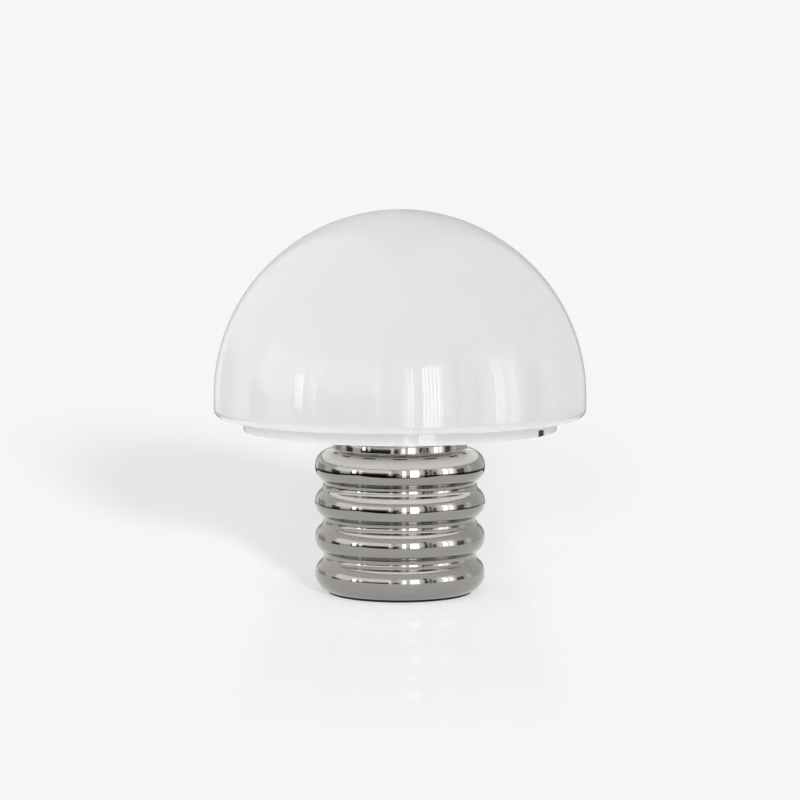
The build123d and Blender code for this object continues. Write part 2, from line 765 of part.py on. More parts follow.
with BuildPart() as terminal_block:
    with BuildSketch(Plane.XY.offset(ballast_top)):
        with Locations((0, block_offset)):
            Rectangle(block_length, block_width)
    extrude(amount=block_height)
    fillet(terminal_block.edges().filter_by(Axis.Z), block_corner_radius)
finish("terminal_block", terminal_block)

block_poles = [-block_pole_pitch, 0, block_pole_pitch]
screw_rows = [block_offset - block_screw_spread, block_offset + block_screw_spread]
screw_places = [(x, y) for x in block_poles for y in screw_rows]

with BuildPart() as block_screws:
    with BuildSketch(Plane.XY.offset(ballast_top + block_height)):
        with Locations(*screw_places):
            Circle(block_screw_radius)
    extrude(amount=block_screw_head)
    with BuildSketch(Plane.XY.offset(ballast_top + block_height + block_screw_head)):
        with Locations(*screw_places):
            Rectangle(2 * block_screw_radius, block_screw_head)
    extrude(amount=-block_screw_head / 2, mode=Mode.SUBTRACT)
finish("block_screws", block_screws)

block_front = block_offset - block_width / 2
lead_level = ballast_top + lead_height
slot_middle = ballast_top + stem_slot_rise + stem_slot_height / 2


def lead(pole, side):
    """One lead from its pole, in through the stem's slot and up to its lampholder terminal."""
    inner = side * wire_offset
    terminal_face = terminal_spread - terminal_size / 2
    terminal_level = holder_cap_top - terminal_size / 2
    points = [
        (pole, block_front, lead_level),
        (pole, block_front - lead_start, lead_level),
        (inner, stem_radius, slot_middle),
        (inner, 0, slot_middle + lead_climb),
        (inner, 0, stem_top + wire_radius),
        (side * terminal_face / 2, 0, terminal_level),
        (side * terminal_face, 0, terminal_level),
    ]
    with BuildPart() as wire:
        with BuildLine() as route:
            FilletPolyline(*points, radius=lead_bends)
        with BuildSketch(Plane(origin=points[0], z_dir=(0, -1, 0))):
            Circle(wire_radius)
        sweep(path=route.wires()[0])
    return wire


earth_pole, neutral_pole, live_pole = block_poles
finish("lead_live", lead(live_pole, 1))
finish("lead_neutral", lead(neutral_pole, -1))

with BuildPart() as earth_tag:
    with BuildSketch(Plane.XY.offset(ballast_top)):
        with Locations((earth_x, earth_y)):
            Circle(tag_radius)
            Rectangle(tag_barrel_length + tag_radius, 2 * wire_radius, align=(Align.MIN, Align.CENTER))
            Circle(earth_screw_radius, mode=Mode.SUBTRACT)
    extrude(amount=tag_sheet)
finish("earth_tag", earth_tag)

with BuildPart() as earth_screw:
    with BuildSketch(Plane.XY.offset(ballast_top + tag_sheet)):
        with Locations((earth_x, earth_y)):
            Circle(earth_head_radius)
    extrude(amount=earth_head_height)
    fillet(earth_screw.faces().sort_by(Axis.Z)[-1].edges(), earth_head_height / 3)
finish("earth_screw", earth_screw)

with BuildPart() as lead_earth:
    wire_level = ballast_top + tag_sheet + wire_radius
    on_tag = Vector(earth_x + tag_radius, earth_y, wire_level)
    with BuildLine() as earth_route:
        FilletPolyline(
            on_tag,
            on_tag + Vector(tag_barrel_length, 0, 0),
            (earth_pole - earth_swing, block_front - lead_start - earth_swing, lead_level),
            (earth_pole, block_front - lead_start, lead_level),
            (earth_pole, block_front, lead_level),
            radius=earth_bends,
        )
    with BuildSketch(Plane(origin=on_tag, z_dir=(1, 0, 0))):
        Circle(wire_radius)
    sweep(path=earth_route.wires()[0])
finish("lead_earth", lead_earth)

# ---------------------------------------------------------------- export

os.makedirs("parts", exist_ok=True)
for piece in pieces:
    export_step(piece, f"parts/{piece.label}.step")
print(f"{len(pieces)} pieces written")
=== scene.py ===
import json
from math import asin, atan2, cos, degrees, pi, radians, sin, sqrt

import bpy
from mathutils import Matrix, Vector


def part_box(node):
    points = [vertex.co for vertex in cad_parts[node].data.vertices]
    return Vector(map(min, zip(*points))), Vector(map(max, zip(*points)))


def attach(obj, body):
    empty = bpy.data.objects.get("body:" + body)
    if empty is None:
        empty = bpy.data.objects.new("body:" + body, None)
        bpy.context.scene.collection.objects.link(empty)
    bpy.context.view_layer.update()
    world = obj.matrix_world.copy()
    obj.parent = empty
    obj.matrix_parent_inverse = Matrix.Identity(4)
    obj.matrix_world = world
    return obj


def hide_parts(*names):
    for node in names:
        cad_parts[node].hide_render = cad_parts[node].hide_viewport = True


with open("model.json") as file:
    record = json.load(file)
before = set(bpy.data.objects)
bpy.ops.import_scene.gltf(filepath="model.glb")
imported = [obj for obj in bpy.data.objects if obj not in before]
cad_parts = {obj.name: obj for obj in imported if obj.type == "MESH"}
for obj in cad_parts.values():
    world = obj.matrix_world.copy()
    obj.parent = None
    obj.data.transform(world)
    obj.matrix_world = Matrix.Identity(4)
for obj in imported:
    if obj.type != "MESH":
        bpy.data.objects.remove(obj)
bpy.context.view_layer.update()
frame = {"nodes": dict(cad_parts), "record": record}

# Mushroom table lamp: opal glass shade, ribbed chrome base, screw-in bulb.
# Metres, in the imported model's frame: +Z is the lamp's axis, -Y the front.

nodes = frame["nodes"]
mm = 0.001

# ---------------------------------------------------------------- sizes

shade_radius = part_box("shade")[1][0]
shade_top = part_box("shade")[1][2]
lip_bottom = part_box("shade")[0][2]
shade_wall = 3.5 * mm
dome_centre = shade_top - shade_radius
band_height = 16.0 * mm
shoulder = dome_centre - band_height
shade_corner = 6.7 * mm
lip_radius = 122.2 * mm
lip_wall = 3.6 * mm
lip_rounding = 1.1 * mm
lip_bore_rounding = lip_wall / 4
ledge_height = 5.4 * mm
ledge_width = 5.6 * mm
notch_width = 11.0 * mm
notch_rounding = 1.0 * mm
notch_angles = (-28.0, 152.0)

# The rubber plugs in the notches: how much smaller than their notch, and how far up in it.
plug_setback = 0.5 * mm
plug_side_play = 0.9 * mm
plug_headroom = 0.55 * mm
plug_lift = 0.1 * mm
plug_rounding = 1.2 * mm

shell_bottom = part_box("base_shell")[0][2]
neck_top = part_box("base_shell")[1][2]
rib_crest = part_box("base_shell")[1][0]
rib_valley = 59.95 * mm
rib_count = 4
rib_pitch = 27.9 * mm
rib_arc = 13.0 * mm
first_rib = 15.5 * mm
neck_radius = 52.3 * mm
neck_fillet = 0.6 * mm
neck_straight = 1.0 * mm
neck_crown = 26.0 * mm
neck_corner = 2.0 * mm
foot_radius = 56.6 * mm
foot_hem = 1.0 * mm
flange_width = 5.6 * mm
plate_sheet = 1.2 * mm
shell_sheet = 1.2 * mm
stem_hole = 5.1 * mm
bush_hole = 4.8 * mm
bush_hole_depth = 20.0 * mm

felt_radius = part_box("felt_pad")[1][0]
felt_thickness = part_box("felt_pad")[1][2]
felt_rounding = 0.35 * mm

bulb_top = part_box("bulb_glass")[1][2]
bulb_neck_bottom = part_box("bulb_glass")[0][2]
bulb_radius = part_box("bulb_glass")[1][0]
bulb_neck_radius = 12.2 * mm
bulb_neck_height = 12.0 * mm
bulb_neck_top = bulb_neck_bottom + bulb_neck_height
bulb_wall = 0.7 * mm

# Mesh steps: degrees a step along each kind of arc.
dome_step = 1.5
foot_step = 2.5
globe_step = 3.0
rib_step = 4.0
corner_step = 5.0
inner_step = 10.0
edge_step = 15.0
felt_step = 30.0
crown_share = 3  # the neck's crown is a wide arc and takes steps this many times finer

# Faces round a spun piece.
round_steps = 224
felt_round_steps = 160
bulb_round_steps = 128
bush_hole_steps = 48
felt_rings = 12
bevel_steps = 4

# Edges sharper than this many degrees stay sharp.
shade_crease = 35.0
shell_crease = 40.0
soft_crease = 60.0

weld_distance = mm / 1000

# ---------------------------------------------------------------- modelling


class Outline:
    """A line drawn in edit mode in the upright plane y = 0, x out from the lamp's axis and z up."""

    def __init__(self, name, x, z):
        bpy.ops.object.select_all(action="DESELECT")
        bpy.ops.mesh.primitive_plane_add(size=mm, location=(0, 0, 0))
        self.piece = bpy.context.object
        self.piece.name = self.piece.data.name = name
        bpy.ops.object.mode_set(mode="EDIT")
        bpy.ops.mesh.merge(type="CENTER")
        bpy.ops.transform.translate(value=(x, 0, z))
        self.x, self.z = x, z

    def line(self, x, z):
        """Extrudes the last point straight to x, z."""
        step = (x - self.x, 0, z - self.z)
        bpy.ops.mesh.extrude_region_move(TRANSFORM_OT_translate={"value": step})
        self.x, self.z = x, z

    def arc(self, centre_x, centre_z, turn, step):
        """Spins the last point about a centre by turn degrees, anticlockwise from the front."""
        bpy.ops.mesh.spin(
            steps=max(2, round(abs(turn) / step)),
            angle=radians(turn),
            center=(centre_x, 0, centre_z),
            axis=(0, 1, 0),
        )
        reach_x, reach_z = self.x - centre_x, self.z - centre_z
        c, s = cos(radians(turn)), sin(radians(turn))
        self.x = centre_x + c * reach_x - s * reach_z
        self.z = centre_z + s * reach_x + c * reach_z

    def spin(self, steps, crease):
        """Turns the whole line about the lamp's axis into a closed skin."""
        bpy.ops.mesh.select_all(action="SELECT")
        bpy.ops.mesh.remove_doubles(threshold=weld_distance)
        bpy.ops.mesh.spin(steps=steps, angle=2 * pi, center=(0, 0, 0), axis=(0, 0, 1))
        bpy.ops.mesh.select_all(action="SELECT")
        bpy.ops.mesh.remove_doubles(threshold=weld_distance)
        bpy.ops.mesh.normals_make_consistent(inside=False)
        bpy.ops.object.mode_set(mode="OBJECT")
        smooth_edges(self.piece, crease)
        return self.piece


def choose(piece):
    """Makes one object the only selected and active one."""
    bpy.ops.object.select_all(action="DESELECT")
    piece.select_set(True)
    bpy.context.view_layer.objects.active = piece


def smooth_edges(piece, crease):
    """Smooth shading, except over edges sharper than the crease in degrees."""
    choose(piece)
    bpy.ops.object.shade_smooth_by_angle(angle=radians(crease))


def modify(piece, kind, **settings):
    """Adds a modifier and applies it."""
    choose(piece)
    added = piece.modifiers.new(kind.title(), kind)
    for name, value in settings.items():
        setattr(added, name, value)
    bpy.ops.object.modifier_apply(modifier=added.name)


def settle(piece):
    """Moves the piece's place into its mesh, so that the object sits at the origin."""
    choose(piece)
    bpy.ops.object.transform_apply(location=True, rotation=True, scale=True)


def join(piece, other):
    """Adds another object's mesh to the piece."""
    choose(piece)
    other.select_set(True)
    bpy.ops.object.join()


def cut(piece, cutter):
    """Cuts one piece with another, which is used up."""
    modify(piece, "BOOLEAN", operation="DIFFERENCE", solver="EXACT", object=cutter)
    bpy.data.objects.remove(cutter, do_unlink=True)


def rounded_block(middle, size, rounding, turn):
    """A block with rounded edges, turned about the lamp's axis by turn degrees."""
    bpy.ops.object.select_all(action="DESELECT")
    bpy.ops.mesh.primitive_cube_add(size=1, location=middle)
    block = bpy.context.object
    block.scale = size
    settle(block)
    modify(block, "BEVEL", width=rounding, segments=bevel_steps, limit_method="ANGLE")
    block.rotation_euler = (0, 0, radians(turn))
    settle(block)
    return block


# ---------------------------------------------------------------- pieces


def model_shade():
    """The opal glass: dome, flat shoulder and narrower lip, with its ledge and two notches."""
    corner_x = shade_radius - shade_corner
    corner_z = shoulder + shade_corner
    inside = shoulder + shade_wall
    fillet_x = lip_radius + lip_rounding
    fillet_z = shoulder - lip_rounding
    lip_bore = lip_radius - lip_wall
    lip_edge = lip_bore + lip_bore_rounding
    ledge = lip_bottom + ledge_height
    ledge_bore = lip_bore - ledge_width
    ledge_edge = ledge_bore + lip_bore_rounding

    line = Outline("opal_shade", 0, shade_top)
    line.arc(0, dome_centre, -90, dome_step)
    line.line(shade_radius, corner_z)
    line.arc(corner_x, corner_z, -90, corner_step)
    line.line(fillet_x, shoulder)
    line.arc(fillet_x, fillet_z, 90, edge_step)
    line.line(lip_radius, lip_bottom + lip_rounding)
    line.arc(lip_radius - lip_rounding, lip_bottom + lip_rounding, -90, edge_step)
    line.line(lip_edge, lip_bottom)
    line.arc(lip_edge, lip_bottom + lip_bore_rounding, -90, edge_step)
    line.line(lip_bore, ledge)
    line.line(ledge_edge, ledge)
    line.arc(ledge_edge, ledge + lip_bore_rounding, -90, edge_step)
    line.line(ledge_bore, inside - lip_bore_rounding)
    line.arc(ledge_edge, inside - lip_bore_rounding, -90, edge_step)
    line.line(corner_x, inside)
    line.arc(corner_x, corner_z, 90, inner_step)
    line.line(shade_radius - shade_wall, dome_centre)
    line.arc(0, dome_centre, 90, globe_step)
    shade = line.spin(round_steps, shade_crease)

    size = (2 * lip_wall, notch_width, 2 * ledge_height)
    for angle in notch_angles:
        cut(shade, rounded_block((lip_radius, 0, lip_bottom), size, notch_rounding, angle))
    smooth_edges(shade, shade_crease)
    return shade


def model_plugs():
    """The two rounded rubber plugs that fill the notches round the carrier's tabs."""
    depth = lip_wall - plug_setback
    width = notch_width - plug_side_play
    tall = ledge_height - plug_headroom
    middle = (lip_radius - lip_wall + depth / 2, 0, lip_bottom + plug_lift + tall / 2)
    plugs = []
    for angle in notch_angles:
        plug = rounded_block(middle, (depth, width, tall), plug_rounding, angle)
        smooth_edges(plug, soft_crease)
        plugs.append(plug)
    join(*plugs)
    plugs[0].name = plugs[0].data.name = "notch_plugs"
    return plugs[0]


def rib_line(line, inset, step):
    """Draws the shell's side upwards from its lowest rib's foot, inset from the outside."""
    centre = rib_crest - rib_arc
    gap = rib_valley - centre
    half = rib_pitch / 2
    valley = (gap**2 + half**2 - rib_arc**2) / (2 * (rib_arc - gap))
    turn = degrees(atan2(half, gap + valley))
    for rib in range(rib_count - 1):
        height = first_rib + rib * rib_pitch
        line.arc(centre, height, turn, step)
        line.arc(centre + gap + valley, height + half, -2 * turn, step)
        line.arc(centre, height + rib_pitch, turn, step)

    top_rib = first_rib + (rib_count - 1) * rib_pitch
    top_arc = rib_crest - neck_radius
    rise = sqrt(top_arc**2 + 2 * top_arc * neck_fillet)
    top_turn = degrees(atan2(rise, neck_fillet))
    line.arc(neck_radius, top_rib, top_turn, step)
    line.arc(neck_radius + neck_fillet, top_rib + rise, -top_turn, step)
    crown = top_rib + rise + neck_straight
    crown_reach = neck_crown - neck_corner
    crown_turn = degrees(asin((neck_top - neck_corner - crown) / crown_reach))
    corner = neck_radius - neck_crown + crown_reach * cos(radians(crown_turn))
    line.line(neck_radius - inset, crown)
    line.arc(neck_radius - neck_crown, crown, crown_turn, step / crown_share)
    line.arc(corner, neck_top - neck_corner, 90 - crown_turn, step)
    line.line(stem_hole, neck_top - inset)


def foot_place(inset, height):
    """The foot arc's centre, and the radius and turn at which it starts at a height."""
    drop = first_rib - shell_bottom
    reach = rib_crest - foot_radius
    arc = (reach**2 + drop**2) / (2 * reach)
    turn = degrees(asin((first_rib - height) / (arc - inset)))
    start = rib_crest - arc + (arc - inset) * cos(radians(turn))
    return rib_crest - arc, start, turn


def model_shell():
    """The chrome shell of four ribs, with its neck, its hem and the flange turned in below."""
    recess = foot_radius - foot_hem
    flange = shell_bottom + plate_sheet
    foot_centre, start, turn = foot_place(0, shell_bottom)
    line = Outline("chrome_shell", recess - flange_width, flange + shell_sheet)
    line.line(recess - flange_width, flange)
    line.line(recess, flange)
    line.line(recess, shell_bottom)
    line.line(start, shell_bottom)
    line.arc(foot_centre, first_rib, turn, foot_step)
    rib_line(line, 0, rib_step)
    line.line(stem_hole, neck_top - shell_sheet)
    bpy.ops.object.mode_set(mode="OBJECT")
    outside = line.piece

    foot_centre, start, turn = foot_place(shell_sheet, flange + shell_sheet)
    line = Outline("chrome_shell_inside", recess - flange_width, flange + shell_sheet)
    line.line(start, flange + shell_sheet)
    line.arc(foot_centre, first_rib, turn, inner_step)
    rib_line(line, shell_sheet, inner_step)
    bpy.ops.object.mode_set(mode="OBJECT")

    join(outside, line.piece)
    bpy.ops.object.mode_set(mode="EDIT")
    line.piece = outside
    shell = line.spin(round_steps, shell_crease)

    bpy.ops.object.select_all(action="DESELECT")
    bpy.ops.mesh.primitive_cylinder_add(
        vertices=bush_hole_steps,
        radius=bush_hole,
        depth=bush_hole_depth,
        location=(0, rib_crest, first_rib),
        rotation=(pi / 2, 0, 0),
    )
    cutter = bpy.context.object
    settle(cutter)
    cut(shell, cutter)
    smooth_edges(shell, shell_crease)
    return shell


def model_felt():
    """The felt disc under the foot, with rounded edges."""
    edge = felt_radius - felt_rounding
    line = Outline("felt_foot", 0, felt_thickness)
    for ring in range(1, felt_rings):
        line.line(ring / felt_rings * felt_radius, felt_thickness)
    line.line(edge, felt_thickness)
    line.arc(edge, felt_thickness - felt_rounding, -90, felt_step)
    line.line(felt_radius, felt_rounding)
    line.arc(edge, felt_rounding, -90, felt_step)
    for ring in reversed(range(felt_rings)):
        line.line(ring / felt_rings * felt_radius, 0)
    return line.spin(felt_round_steps, soft_crease)


def model_bulb():
    """The bulb's clear envelope: a round globe that runs into its straight neck."""
    centre = bulb_top - bulb_radius
    rise = centre - bulb_neck_top
    slimming = bulb_radius - bulb_neck_radius
    flare = (rise**2 + bulb_neck_radius**2 - bulb_radius**2) / (2 * slimming)
    flare_x = bulb_neck_radius + flare
    bore = bulb_neck_radius - bulb_wall
    turn = degrees(atan2(rise, flare_x))
    line = Outline("bulb_envelope", 0, bulb_top)
    line.arc(0, centre, -90 - turn, globe_step)
    line.arc(flare_x, bulb_neck_top, turn, globe_step)
    line.line(bulb_neck_radius, bulb_neck_bottom)
    line.line(bore, bulb_neck_bottom)
    line.line(bore, bulb_neck_top)
    line.arc(flare_x, bulb_neck_top, -turn, globe_step)
    line.arc(0, centre, 90 + turn, globe_step)
    return line.spin(bulb_round_steps, soft_crease)


# ---------------------------------------------------------------- shader nodes


class Value:
    """A shader socket that takes part in sums: each operator adds its Math node."""

    def __init__(self, shader, socket):
        self.shader = shader
        self.socket = socket

    def math(self, operation, *others):
        values = dict(enumerate((self,) + others))
        return self.shader.node("ShaderNodeMath", values, operation=operation)

    def __add__(self, other):
        return self.math("ADD", other)

    __radd__ = __add__

    def __sub__(self, other):
        return self.math("SUBTRACT", other)

    def __rsub__(self, other):
        return self.math("MULTIPLY_ADD", -1.0, other)

    def __mul__(self, other):
        return self.math("MULTIPLY", other)

    __rmul__ = __mul__

    def ramp(self, low, high, start=0.0, end=1.0):
        """Runs softly from start to end as the value goes from low to high."""
        sockets = {"Value": self, "From Min": low, "From Max": high, "To Min": start, "To Max": end}
        return self.shader.node("ShaderNodeMapRange", sockets, interpolation_type="SMOOTHSTEP")

    def band(self, low, high, soft):
        """1 between low and high, 0 outside, with soft edges."""
        return self.ramp(low - soft, low + soft) * (1 - self.ramp(high - soft, high + soft))


class Shader:
    """The nodes of one material or of the world."""

    def __init__(self, tree):
        self.tree = tree
        tree.nodes.clear()

    def node(self, kind, sockets=None, output=0, **settings):
        """Adds a node, with its settings first and then its sockets' values or links."""
        added = self.tree.nodes.new(kind)
        for name, value in settings.items():
            setattr(added, name, value)
        for name, value in (sockets or {}).items():
            if isinstance(value, Value):
                self.tree.links.new(value.socket, added.inputs[name])
            else:
                added.inputs[name].default_value = value
        return Value(self, added.outputs[output])

    def show(self, surface, kind):
        """Ends the nodes in an output of the kind that the tree needs."""
        end = self.tree.nodes.new(kind)
        self.tree.links.new(surface.socket, end.inputs["Surface"])

    def mix(self, factor, first, second):
        """A colour between first and second."""
        return self.node("ShaderNodeMix", {0: factor, 6: first, 7: second}, 2, data_type="RGBA")

    def blend(self, red, green, blue):
        """A colour from three values."""
        return self.node("ShaderNodeCombineColor", {"Red": red, "Green": green, "Blue": blue})

    def part(self, vector, axis):
        """One of a vector's X, Y and Z."""
        return self.node("ShaderNodeSeparateXYZ", {"Vector": vector}, axis)

    def ray(self, *kinds):
        """1 for rays of these kinds, 0 for others."""
        total, *others = [self.node("ShaderNodeLightPath", output=kind) for kind in kinds]
        for other in others:
            total = total + other
        return total.math("MINIMUM", 1.0)

    def place(self, scale=(1.0, 1.0, 1.0)):
        """The point on the object, in metres, stretched by a scale."""
        point = self.node("ShaderNodeTexCoord", output="Object")
        return self.node("ShaderNodeMapping", {"Vector": point, "Scale": scale})

    def noise(self, scale, detail=2.0, roughness=0.5, stretch=(1.0, 1.0, 1.0)):
        """Soft random patches from 0 to 1."""
        point = self.place(stretch)
        sockets = {"Vector": point, "Scale": scale, "Detail": detail, "Roughness": roughness}
        return self.node("ShaderNodeTexNoise", sockets)

    def bump(self, height, distance):
        """A normal from a height between 0 and 1, distance metres deep."""
        return self.node("ShaderNodeBump", {"Height": height, "Distance": distance})

    def principled(self, **sockets):
        """The Principled surface, its sockets named with underscores for spaces."""
        named = {name.replace("_", " "): value for name, value in sockets.items()}
        return self.node("ShaderNodeBsdfPrincipled", named)


def finish(name, paint):
    """A material whose nodes are drawn by paint."""
    material = bpy.data.materials.new(name)
    material.use_nodes = True
    shader = Shader(material.node_tree)
    shader.show(paint(shader), "ShaderNodeOutputMaterial")
    return material


def rgb(red, green=None, blue=None):
    """An opaque colour, grey where only one value is given."""
    if green is None:
        green = blue = red
    return (red, green, blue, 1.0)


# ---------------------------------------------------------------- finishes

noise_spread = (0.2, 0.8)  # the part of a noise's 0 to 1 that it mostly fills


def grained(grain, dark, light, depth, **surface):
    """A finish in which one noise takes the colour from dark to light and lifts the surface."""

    def paint(shader):
        noise = shader.noise(*grain)
        tone = shader.mix(noise, dark, light)
        return shader.principled(Base_Color=tone, Normal=shader.bump(noise, depth), **surface)

    return paint


def rubber(dark, light):
    return grained((900.0, 3.0), dark, light, 0.1 * mm, Roughness=0.6)


def plastic(dark, light):
    return grained((1200.0,), dark, light, 0.08 * mm, Roughness=0.42)


def opal_glass(shader):
    """White glass that light enters, with a faint wave in its polished surface."""
    return shader.principled(
        Base_Color=shader.mix(shader.noise(18.0), rgb(0.86, 0.86, 0.855), rgb(0.89)),
        Roughness=0.012,
        IOR=1.5,
        Normal=shader.bump(shader.noise(9.0, 1.0), 0.25 * mm),
        Subsurface_Weight=1.0,
        Subsurface_Radius=(1.0, 1.0, 1.0),
        Subsurface_Scale=6.0 * mm,
    )


def mirror_chrome(shader):
    """Polished chrome, set darker than bare chromium as painted shade that stands in for a darker
    room in its reflections, with wiped, slightly hazy patches and a faint wave.
    """
    return shader.principled(
        # Painted shade: the colour is kept well under bare chrome's, so that every reflection comes
        # out dimmer, as a darker room would make it.
        Base_Color=shader.mix(shader.noise(25.0), rgb(0.32, 0.31, 0.296), rgb(0.35, 0.34, 0.325)),
        Metallic=1.0,
        Roughness=shader.noise(60.0, 4.0).ramp(0.45, 0.8, 0.01, 0.035),
        Normal=shader.bump(shader.noise(30.0, 1.0), 0.06 * mm),
    )


def zinc_plate(shader):
    """Dull silvery plate with small crystals."""
    sockets = {"Vector": shader.place(), "Scale": 260.0}
    crystals = shader.node("ShaderNodeTexVoronoi", sockets, "Color")
    patch = shader.noise(500.0, 3.0)
    tone = shader.mix(patch, rgb(0.46, 0.48, 0.50), rgb(0.60, 0.61, 0.62))
    return shader.principled(
        Base_Color=shader.mix(0.15, tone, crystals),
        Metallic=1.0,
        Roughness=patch.ramp(*noise_spread, 0.25, 0.42),
        Normal=shader.bump(patch, 0.05 * mm),
    )


def white_enamel(shader):
    """Glossy white paint with a little orange peel."""
    return shader.principled(
        Base_Color=shader.mix(shader.noise(12.0), rgb(0.76, 0.76, 0.74), rgb(0.80, 0.80, 0.79)),
        Roughness=0.22,
        Coat_Weight=0.4,
        Normal=shader.bump(shader.noise(220.0), 0.08 * mm),
    )


def brass(shader):
    """Yellow brass with darker, duller stains."""
    stain = shader.noise(160.0, 5.0, 0.6)
    return shader.principled(
        Base_Color=shader.mix(stain, rgb(0.42, 0.27, 0.08), rgb(0.72, 0.52, 0.20)),
        Metallic=1.0,
        Roughness=stain.ramp(*noise_spread, 0.4, 0.2),
        Normal=shader.bump(stain, 0.05 * mm),
    )


def clear_glass(shader):
    """Thin clear glass with a faint wave."""
    return shader.principled(
        Base_Color=rgb(0.97, 0.985, 0.98),
        Roughness=0.0,
        IOR=1.47,
        Transmission_Weight=1.0,
        Normal=shader.bump(shader.noise(60.0, 1.0), 0.05 * mm),
    )


def nickel(shader):
    """Warm plated metal, rubbed round and round."""
    rub = shader.noise(400.0, 4.0, 0.6, (1.0, 1.0, 0.2))
    return shader.principled(
        Base_Color=shader.mix(rub, rgb(0.42, 0.40, 0.36), rgb(0.60, 0.575, 0.53)),
        Metallic=1.0,
        Roughness=rub.ramp(*noise_spread, 0.2, 0.38),
    )


def drawn_wire(shader):
    """Dark drawn metal."""
    return shader.principled(
        Base_Color=shader.mix(shader.noise(1500.0), rgb(0.10, 0.095, 0.09), rgb(0.22, 0.21, 0.20)),
        Metallic=1.0,
        Roughness=0.35,
    )


def earth_sleeve(shader):
    """Green insulation with a yellow stripe."""
    stripe = (shader.part(shader.place(), "X") * 900.0).math("SINE").ramp(-0.15, 0.15)
    return shader.principled(
        Base_Color=shader.mix(stripe, rgb(0.04, 0.28, 0.05), rgb(0.75, 0.62, 0.04)),
        Roughness=0.4,
        Normal=shader.bump(shader.noise(900.0), 0.05 * mm),
    )


black_felt = grained((1800.0, 4.0, 0.7), rgb(0.006), rgb(0.035), 0.4 * mm, Roughness=0.95)
cast_iron = grained(
    (700.0, 5.0, 0.65), rgb(0.018), rgb(0.06), 0.6 * mm, Roughness=0.7, Metallic=0.3
)
porcelain = grained(
    (70.0, 3.0), rgb(0.74, 0.72, 0.66), rgb(0.82, 0.81, 0.77), 0.2 * mm,
    Roughness=0.12, Coat_Weight=0.6,
)
turned_steel = grained(
    (2500.0, 2.0, 0.5, (1.0, 1.0, 0.05)), rgb(0.40), rgb(0.56), 0.04 * mm,
    Roughness=0.3, Metallic=1.0,
)
vitrite = grained((350.0, 3.0), rgb(0.008), rgb(0.02), 0.2 * mm, Roughness=0.1)
solder = grained((900.0, 4.0), rgb(0.38), rgb(0.55), 0.2 * mm, Roughness=0.45, Metallic=1.0)

finishes = {
    "opal_glass": opal_glass,
    "mirror_chrome": mirror_chrome,
    "black_felt": black_felt,
    "zinc_steel": zinc_plate,
    "cast_iron": cast_iron,
    "white_enamel": white_enamel,
    "black_rubber": rubber(rgb(0.008), rgb(0.025)),
    "white_rubber": rubber(rgb(0.62, 0.62, 0.60), rgb(0.70, 0.70, 0.68)),
    "white_porcelain": porcelain,
    "brass": brass,
    "screw_steel": turned_steel,
    "clear_glass": clear_glass,
    "nickel": nickel,
    "black_vitrite": vitrite,
    "solder": solder,
    "filament_wire": drawn_wire,
    "block_plastic": plastic(rgb(0.62, 0.60, 0.54), rgb(0.72, 0.70, 0.64)),
    "brown_sleeve": plastic(rgb(0.08, 0.03, 0.015), rgb(0.13, 0.05, 0.025)),
    "blue_sleeve": plastic(rgb(0.01, 0.06, 0.26), rgb(0.02, 0.09, 0.34)),
    "earth_sleeve": earth_sleeve,
}
materials = {name: finish(name + "_finish", paint) for name, paint in finishes.items()}

# ---------------------------------------------------------------- assembly


def dress(piece, body, slot, node):
    """Puts a finished piece on its body, in its slot's material, in place of a CAD node."""
    piece.data.materials.clear()
    piece.data.materials.append(materials[slot])
    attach(piece, body)
    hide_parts(node)


for subpart in frame["record"]["subparts"]:
    for place in nodes[subpart["node"]].material_slots:
        place.material = materials[subpart["material_slot"]]

dress(model_shade(), "shade", "opal_glass", "shade")
dress(model_plugs(), "base", "black_rubber", "notch_sleeves")
dress(model_shell(), "base", "mirror_chrome", "base_shell")
dress(model_felt(), "base", "black_felt", "felt_pad")
dress(model_bulb(), "bulb", "clear_glass", "bulb_glass")

# ---------------------------------------------------------------- studio

backdrop_tone = 0.9216  # what the camera sees behind the lamp
ambient_level = 0.92
ambient_slope = 0.09  # the light falls off towards +X
mirror_rays = ("Is Camera Ray", "Is Glossy Ray", "Is Transmission Ray")

# The painted room that the lamp mirrors. Angles are in degrees, round the lamp from the front
# towards +X, and up from the level.
wall_tone = 0.95
ceiling_tone = 0.93
ceiling_rise = (10, 80)
patch_scale = 9.0  # soft patches that keep the walls from being one plain tone
patch_detail = 3.0
patch_tones = (0.92, 1.08)
right_turn = (60, 130)  # where the walls darken to the right
right_tone = 0.8
rear_turn = (154, 164)  # and where they darken behind the lamp
rear_tone = 0.5
ground_fall = (-10, -4)  # below the level the room falls away to dark
ground_tone = 0.06
screen_turn = (169, 173)  # a pale screen stands straight behind the lamp
screen_rise = (-14, 6)
screen_soft = 2.0
warmth = (1.01, 1.0, 0.985)

window_glow = 5.0
window_soft = (0.4, 0.5)  # how soft the edges are, sideways and in height
fold_rate = 2.7  # folds of the thin curtains before the windows
fold_edge = 0.7
fold_tone = 0.25
# Windows: left and right edge, bottom and top, brightness.
windows = (
    (-67, -61, -4, 13, 1.0),
    (-57, -52, -4, 12, 0.35),
    (-15, -12, -9, 18, 0.2),
    (3, 8.5, -22, 21, 0.6),
    (14, 26, -22, 22, 1.0),
    (60, 68, -9, 21, 0.6),
    (70, 77, -9, 19, 0.4),
    (103, 112, -9, 16, 0.1),
)
# Light curtains round the windows, in the same way.
curtain_soft = (4.0, 3.0)
curtains = (
    (-98, -12, 2, 24, 0.14),
    (-4, 32, -22, 26, 0.08),
    (53, 81, -9, 26, 0.14),
)
